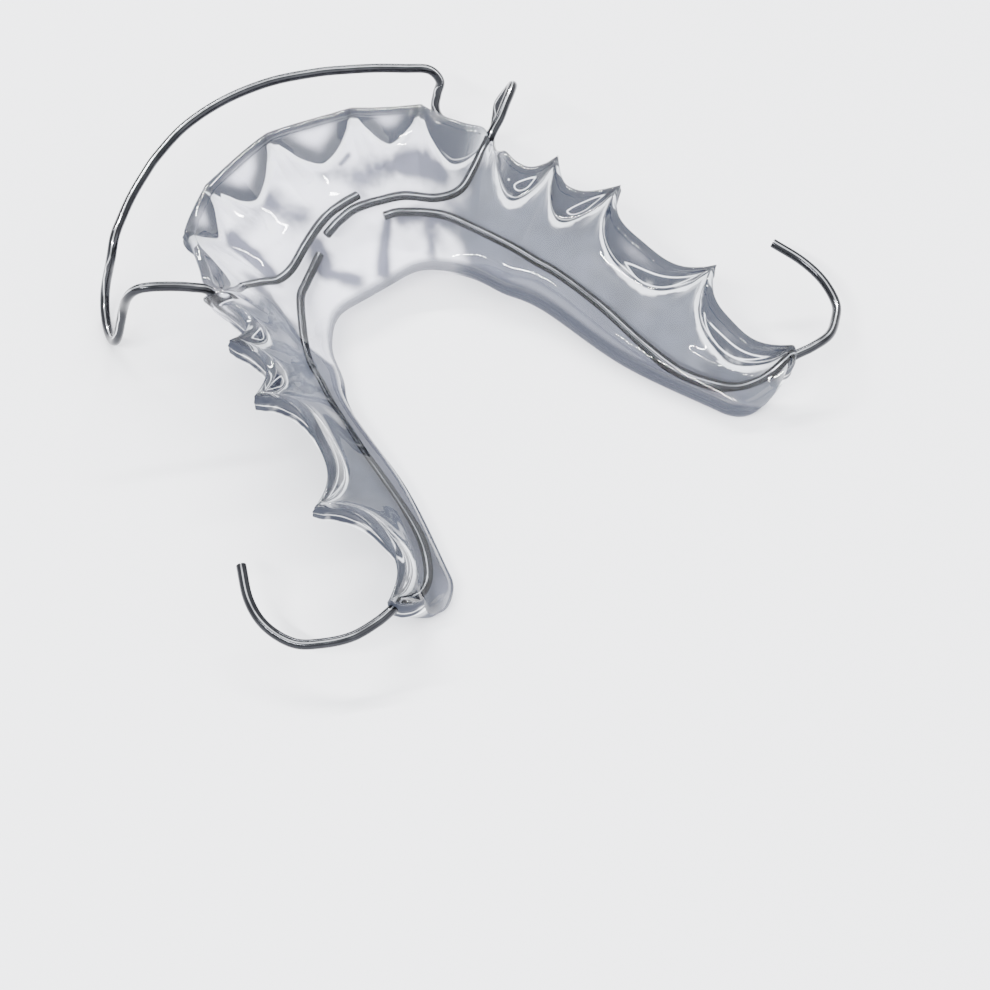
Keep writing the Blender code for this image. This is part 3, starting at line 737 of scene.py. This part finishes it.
class Finish:
    """Material whose nodes are added one call at a time."""

    def __init__(self, name):
        self.material = bpy.data.materials.new(name)
        self.material.use_nodes = True
        self.tree = self.material.node_tree
        self.tree.nodes.clear()

    def add(self, kind, settings=None, inputs=None, output=0):
        """Add a node of this type with its settings and the values or links of its sockets."""
        node = self.tree.nodes.new(kind)
        for name, setting in (settings or {}).items():
            setattr(node, name, setting)
        for key, given in (inputs or {}).items():
            if isinstance(given, Value):
                self.tree.links.new(given.socket, node.inputs[key])
            else:
                node.inputs[key].default_value = given
        return None if output is None else Value(self, node.outputs[output])

    def where(self):
        """Place on the object."""
        return self.add("ShaderNodeTexCoord", output="Object")

    def attribute(self, name, output="Fac"):
        """A value stored at the corners of the piece."""
        return self.add("ShaderNodeAttribute", {"attribute_name": name}, output=output)

    def noise(self, vector, scale, detail=3.0, roughness=0.5):
        """Cloudy pattern from 0 to 1, with about this many clouds to each unit of the vector."""
        return self.add("ShaderNodeTexNoise", {}, {"Vector": vector, "Scale": scale,
                                                   "Detail": detail, "Roughness": roughness})

    def blend(self, share, first, second):
        """Colour between two colours: first at share 0 and second at share 1."""
        first, second = (end if isinstance(end, Value) else (*end, 1.0) for end in (first, second))
        return self.add("ShaderNodeMix", {"data_type": "RGBA"}, {0: share, 6: first, 7: second}, 2)

    def bump(self, height, strength, distance):
        return self.add("ShaderNodeBump", {}, {"Strength": strength, "Distance": distance,
                                               "Height": height})

    def shader(self, inputs):
        return self.add("ShaderNodeBsdfPrincipled", {}, inputs)

    def surface(self, shader):
        """The material, finished with this shader on its surface."""
        self.add("ShaderNodeOutputMaterial", {}, {"Surface": shader}, None)
        return self.material


def times(rgb, factor):
    """Colour with each part multiplied by the factor."""
    return tuple(part * factor for part in rgb)


def print_and_shade_tones(nodes, settings, below, broad, cloud, towards_rear):
    """Greys of the print, most of them painted shade. Above the margin: clear pockets painted dark
    as the shade behind the teeth, paler where the acrylic touches a tooth and darker near the upper
    edge. Below it: the pale palate with painted shade in its folds in front and painted shade over
    the gum at the rear, both with painted shade towards the inner edge."""
    fold_shade, wall, edge = (nodes.attribute(name) for name in ("fold_shade", "wall", "to_edge"))
    touch = (nodes.attribute("touch") + (cloud - 0.5) * 0.2).ease(0.1, 0.95)
    # Painted shade: the pockets behind the teeth are dark, paler where the acrylic touches a tooth.
    tooth = nodes.blend(touch, settings.pocket_shade, settings.contact)
    # Painted shade: darker still towards the upper edge.
    tooth = nodes.blend(wall.ease(0.7, 0.9), tooth, times(settings.pocket_shade, 0.9))
    # Painted shade: the folds, with random patches, darken the pale palate.
    shade = fold_shade * broad.ease(0.3, 0.6, 1.0, 1.4) + (broad - 0.5) + (cloud - 0.5) * 0.5
    front = nodes.blend(shade.ease(0.0, 1.05), settings.palate, settings.fold_shade)
    patch = (broad + (cloud - 0.5) * 0.4).ease(0.3, 0.72)
    # Painted shade: the print along the rear teeth is dark, with random paler patches.
    rear = nodes.blend(patch, settings.rear, times(settings.rear, 1.9))
    gum = nodes.blend(towards_rear, front, rear)
    # Painted shade: darker towards the inner edge at the rear, and a dark line along the inner edge
    # itself.
    gum = nodes.blend((1.0 - edge.ease(1.5, 4.5)) * towards_rear * 0.6, gum, settings.fold_shade)
    gum = nodes.blend((1.0 - edge.ease(0.25, 0.9)) * 0.9, gum, settings.pocket_shade)
    return nodes.blend(below, tooth, gum)


def print_whites_and_highlights(nodes, where, past, margin, broad, cloud, towards_rear):
    """Share of white in the print: a painted highlight along the gum's margin, wider and softer in
    places, a thin second line above it and the outlines of the glints as painted reflections,
    bubbles, haze at the contacts and mist above."""
    # Painted highlight: a white line along the gum's margin, where the ledge catches the light.
    width = towards_rear * 0.05 + broad.ease(0.3, 0.7, 0.02, 0.45)
    softness = cloud.ease(0.3, 0.7, 0.15, 0.8)
    line = margin.ease(-0.18, 0.0) * (1.0 - (margin - width).ease(0.0, softness))
    # Painted reflections: a thin second line above the margin and the outlines of the glints.
    second = (margin + 0.62).band(-0.12, 0.0, 0.0, 0.14) * towards_rear
    outline = nodes.attribute("glint").band(-0.11, -0.03, 0.03, 0.11) * cloud.ease(0.25, 0.45)
    cells = nodes.add("ShaderNodeTexVoronoi", {}, {"Vector": where, "Scale": 420.0})
    bubble = (1.0 - cells.ease(0.03, 0.06)) * cloud.ease(0.56, 0.6)
    at_contact = 1.0 - nodes.attribute("to_contact").ease(0.3, 1.6)
    haze = at_contact * past.band(0.0, 0.2, 0.8, 2.2)
    mist = margin.band(-1.3, -0.7, -0.3, 0.0) * cloud.ease(0.45, 0.65)
    veil = (haze * 0.45 + mist * 0.35) * towards_rear
    return (line + second * 0.7 + outline + bubble + veil).ease(0.0, 1.0)


def acrylic_finish(settings):
    """Clear cast acrylic whose side against the mouth keeps a matt print of gums and teeth, with
    painted shade and painted highlights in it.
    """
    nodes = Finish("retainer_clear_acrylic")
    where, tissue, past = nodes.where(), nodes.attribute("tissue"), nodes.attribute("past_gum")
    broad = nodes.noise(where, 230.0)
    cloud = nodes.noise(where, 620.0, 2.0, 0.55)
    margin = past + (cloud - 0.5) * 0.3
    rear = nodes.attribute("rear") + (broad - 0.5) * 1.3
    towards_rear = rear.ease(REAR_STATION, REAR_STATION + REAR_FADE)
    below = margin.ease(-0.05, 0.1)
    tones = print_and_shade_tones(nodes, settings, below, broad, cloud, towards_rear)
    white = print_whites_and_highlights(nodes, where, past, margin, broad, cloud, towards_rear)
    # The print with its painted shade and painted highlights.
    print_with_painted_light = nodes.blend(white, tones, (0.95, 0.96, 0.98))

    cover = below * towards_rear.ease(0.0, 1.0, 0.95, 0.82) + (1.0 - below) * 0.92
    cover = ((cover + white * 0.5) * settings.frost).ease(0.0, 1.0) * tissue
    passed = nodes.blend(tissue, settings.tint, settings.shade)
    clear = nodes.shader({"Base Color": passed, "Roughness": tissue * 0.3 + settings.roughness,
                          "IOR": settings.ior, "Transmission Weight": 1.0,
                          "Normal": nodes.bump(broad, 0.1, 0.0002)})
    matt = nodes.shader({"Base Color": print_with_painted_light, "Roughness": 0.55, "Specular IOR Level": 0.2,
                         "Normal": nodes.bump(cloud, 0.25, 0.00008)})
    body = nodes.add("ShaderNodeMixShader", {}, {0: cover, 1: clear, 2: matt})
    # Light reaches the floor through the acrylic, tinted, instead of stopping at it.
    shadow = nodes.add("ShaderNodeLightPath", output="Is Shadow Ray") * (1.0 - cover * 0.8)
    half_tint = (*(part ** 0.5 for part in settings.tint), 1.0)
    passing = nodes.add("ShaderNodeBsdfTransparent", {}, {"Color": half_tint})
    return nodes.surface(nodes.add("ShaderNodeMixShader", {}, {0: shadow, 1: body, 2: passing}))


def wire_finish(settings):
    """Drawn stainless wire: long fine scratches along it and faint darker stains, with a painted
    highlight line along the side that faces SHINE_FROM, broken by the stains and scratches.
    """
    nodes = Finish("retainer_stainless_wire")
    stretched = nodes.add("ShaderNodeVectorMath", {"operation": "MULTIPLY"},
                          {0: nodes.attribute("drawn", "Vector"), 1: (1.2, 1.2, 0.1)})
    scratch = nodes.noise(stretched, 4.0, 3.0, 0.55)
    stain = nodes.noise(nodes.where(), 420.0)
    tone = nodes.blend(stain.ease(0.35, 0.7), times(settings.steel, 0.7), settings.steel)
    # Gaps in the painted highlight, where the stain and scratch noise falls.
    highlight_breaks = (stain + scratch * 0.6).ease(0.6, 0.9, 0.3, 1.0)
    # Painted highlight: a bright line painted where the wire faces SHINE_FROM.
    painted_highlight = nodes.attribute("shine").ease(0.978, 0.997) * highlight_breaks
    tone = nodes.blend(painted_highlight, tone, settings.painted_highlight)
    rough = settings.polish + (scratch - 0.5) * 0.08 + (stain - 0.5) * 0.06
    return nodes.surface(nodes.shader({"Base Color": tone, "Metallic": 1.0, "Roughness": rough,
                                       "Normal": nodes.bump(scratch, 0.1, 0.00002)}))


def floor_finish(settings):
    """Pale matt floor with a trace of cloudiness."""
    nodes = Finish("stage_floor")
    cloud = nodes.noise(nodes.where(), 4.0).ease(0.3, 0.7)
    tone = nodes.blend(cloud, times(settings.floor, 0.985), settings.floor)
    return nodes.surface(nodes.shader({"Base Color": tone, "Roughness": 0.8}))


def colour_setting(name, default, description):
    return FloatVectorProperty(name=name, description=description, default=default,
                               subtype="COLOR", min=0.0, max=1.0)


def share_setting(name, default, description, highest=1.0):
    return FloatProperty(name=name, description=description, default=default, subtype="FACTOR",
                         min=0.0, max=highest)


def length_setting(name, default, highest, description, lowest=0.0):
    """Length that is given here in millimetres and kept in metres."""
    return FloatProperty(name=name, description=description, default=default * MM, unit="LENGTH",
                         precision=5, min=lowest * MM, max=highest * MM)


class RetainerAcrylicSettings(bpy.types.PropertyGroup):
    tint: colour_setting("Tint", (0.9, 0.92, 0.96), "Colour of light that passes the acrylic")
    shade: colour_setting("Shade", (0.5, 0.54, 0.62), "The same on the side against the mouth")
    roughness: share_setting("Roughness", 0.0, "Roughness of the polished side")
    ior: FloatProperty(name="Refraction", description="Index of refraction of the acrylic",
                       default=1.49, min=1.0, max=2.0)
    frost: share_setting("Frost", 1.0, "Strength of the matt print on the mouth's side", 1.5)
    palate: colour_setting("Palate", (0.92, 0.91, 0.97), "Print of the front of the palate")
    # Painted shade: grey painted in the palate's folds and under the left tail.
    fold_shade: colour_setting("Fold", (0.125, 0.127, 0.165), "Print of the palate's folds")
    # Painted shade: dark grey that stands for the shade along the rear teeth.
    rear: colour_setting("Rear", (0.043, 0.048, 0.064), "Print of the gum along the rear teeth")
    # Painted shade: dark grey that stands for the shade in the space behind a tooth.
    pocket_shade: colour_setting("Pocket", (0.026, 0.03, 0.044), "Clear space behind a tooth")
    contact: colour_setting("Contact", (0.8, 0.79, 0.88), "Where the acrylic touches a tooth")
    edge_rise: length_setting("Edge Rise", 0.25, 1.0, "Height of the rounded upper edge")
    ledge: length_setting("Gum Ledge", 0.22, 1.0, "Height of the ledge at the gum line")
    folds: share_setting("Palate Folds", 1.0, "Strength of the folds of the palate", 2.0)


class RetainerWireSettings(bpy.types.PropertyGroup):
    diameter: length_setting("Diameter", 0.8, 1.2, "Diameter of the wires", 0.4)
    chamfer: length_setting("Chamfer", 0.06, 0.2, "Bevel of the cut ends")
    sides: IntProperty(name="Sides", description="Faces round the wire", default=28, min=8, max=64)
    # Painted shade: the steel is far darker than bare steel, standing for the dark surroundings
    # that the wires reflect.
    steel: colour_setting("Steel", (0.036, 0.037, 0.041), "Colour of the steel")
    # Painted highlight: colour of the bright line painted along each wire.
    painted_highlight: colour_setting("Highlight Line", (0.7, 0.71, 0.73), "Colour of the line kept bright")
    polish: share_setting("Polish", 0.16, "Roughness of the wire")


class RetainerStageSettings(bpy.types.PropertyGroup):
    floor: colour_setting("Floor", (0.88, 0.88, 0.9), "Colour of the floor")
    lights: FloatProperty(name="Lights", description="Power of which each light takes its share",
                          default=20.0, unit="POWER", min=0.0, max=200.0)
    fill: FloatProperty(name="Fill Light", description="Strength of the light from all round",
                        default=2.2, min=0.0, max=5.0)
    lens: FloatProperty(name="Lens", description="Focal length of the camera", default=118.03,
                        unit="CAMERA", min=20.0, max=300.0)


class RETAINER_OT_acrylic(bpy.types.Operator):
    """Build the clear acrylic base"""
    bl_idname = "retainer.acrylic"
    bl_label = "Acrylic Base"

    def execute(self, context):
        settings = context.scene.retainer_acrylic
        points, values = acrylic_surface(settings.edge_rise / MM, settings.ledge / MM,
                                         settings.folds)
        piece = put_mesh("retainer_acrylic_base", points, acrylic_faces(points),
                         acrylic_finish(settings), values)
        stand_for(piece, "acrylic_baseplate")
        return {"FINISHED"}


class RETAINER_OT_wires(bpy.types.Operator):
    """Build the labial bow and the two molar clasps"""
    bl_idname = "retainer.wires"
    bl_label = "Wires"

    def execute(self, context):
        settings = context.scene.retainer_wires
        finish = wire_finish(settings)
        routes = {"labial_bow": bow_places(), "left_molar_clasp": clasp_places(1, LEFT_TAIL_END),
                  "right_molar_clasp": clasp_places(-1, RIGHT_TAIL_END)}
        for node, places in routes.items():
            points, values = wire_surface(places, settings.diameter / MM, settings.chamfer / MM,
                                          settings.sides)
            piece = put_mesh("retainer_" + node, points, wire_faces(points), finish, values)
            stand_for(piece, node)
        return {"FINISHED"}


class RETAINER_OT_stage(bpy.types.Operator):
    """Lay the floor, hang the lights and set up the camera"""
    bl_idname = "retainer.stage"
    bl_label = "Stage"

    def execute(self, context):
        settings = context.scene.retainer_stage
        side = np.linspace(-FLOOR_HALF, FLOOR_HALF, FLOOR_CELLS + 1)
        across, along = np.meshgrid(side, side, indexing="ij")
        corners = np.stack([across, along, np.zeros_like(across)], -1)
        row = len(side)
        cell = np.arange(FLOOR_CELLS)[:, None] * row + np.arange(FLOOR_CELLS)
        faces = np.stack([cell, cell + row, cell + row + 1, cell + 1], -1).reshape(-1, 4)
        put_mesh("stage_floor", corners, faces, floor_finish(settings))

        camera = bpy.data.objects.new("camera", bpy.data.cameras.new("camera"))
        camera.data.lens = settings.lens
        camera.data.sensor_width = 36.0
        camera.data.clip_start = 0.01
        camera.location = CAMERA_SPOT
        camera.rotation_euler = Euler([math.radians(angle) for angle in CAMERA_TURN_DEGREES])
        context.scene.collection.objects.link(camera)
        context.scene.camera = camera

        for name, spot, size, share in LIGHTS:
            light = bpy.data.objects.new(name, bpy.data.lights.new(name, "AREA"))
            light.data.shape = "RECTANGLE"
            light.data.size, light.data.size_y = size
            light.data.energy = settings.lights * share
            light.location = spot
            light.rotation_euler = (LIGHTS_AIM - Vector(spot)).to_track_quat("-Z", "Y").to_euler()
            context.scene.collection.objects.link(light)

        world = bpy.data.worlds.new("stage_world")
        world.use_nodes = True
        background = world.node_tree.nodes["Background"]
        background.inputs["Color"].default_value = (0.95, 0.97, 1.0, 1.0)
        background.inputs["Strength"].default_value = settings.fill
        context.scene.world = world
        return {"FINISHED"}


class RETAINER_PT_panel(bpy.types.Panel):
    """Lists the pieces and the stage"""
    bl_idname = "RETAINER_PT_panel"
    bl_label = "Dental Retainer"
    bl_space_type = "VIEW_3D"
    bl_region_type = "UI"
    bl_category = "Retainer"

    def draw(self, context):
        for group in GROUPS:
            box = self.layout.box()
            box.operator(group.replace("_", "."))
            settings = getattr(context.scene, group)
            for name in type(settings).__annotations__:
                box.prop(settings, name)


GROUPS = {"retainer_acrylic": RetainerAcrylicSettings, "retainer_wires": RetainerWireSettings,
          "retainer_stage": RetainerStageSettings}
CLASSES = (*GROUPS.values(), RETAINER_OT_acrylic, RETAINER_OT_wires, RETAINER_OT_stage,
           RETAINER_PT_panel)


def register():
    for cls in CLASSES:
        bpy.utils.register_class(cls)
    for name, group in GROUPS.items():
        setattr(bpy.types.Scene, name, PointerProperty(type=group))


def unregister():
    for name in GROUPS:
        delattr(bpy.types.Scene, name)
    for cls in reversed(CLASSES):
        bpy.utils.unregister_class(cls)


def main():
    register()
    bpy.ops.retainer.stage()
    bpy.ops.retainer.acrylic()
    bpy.ops.retainer.wires()


if __name__ == "__main__":
    main()
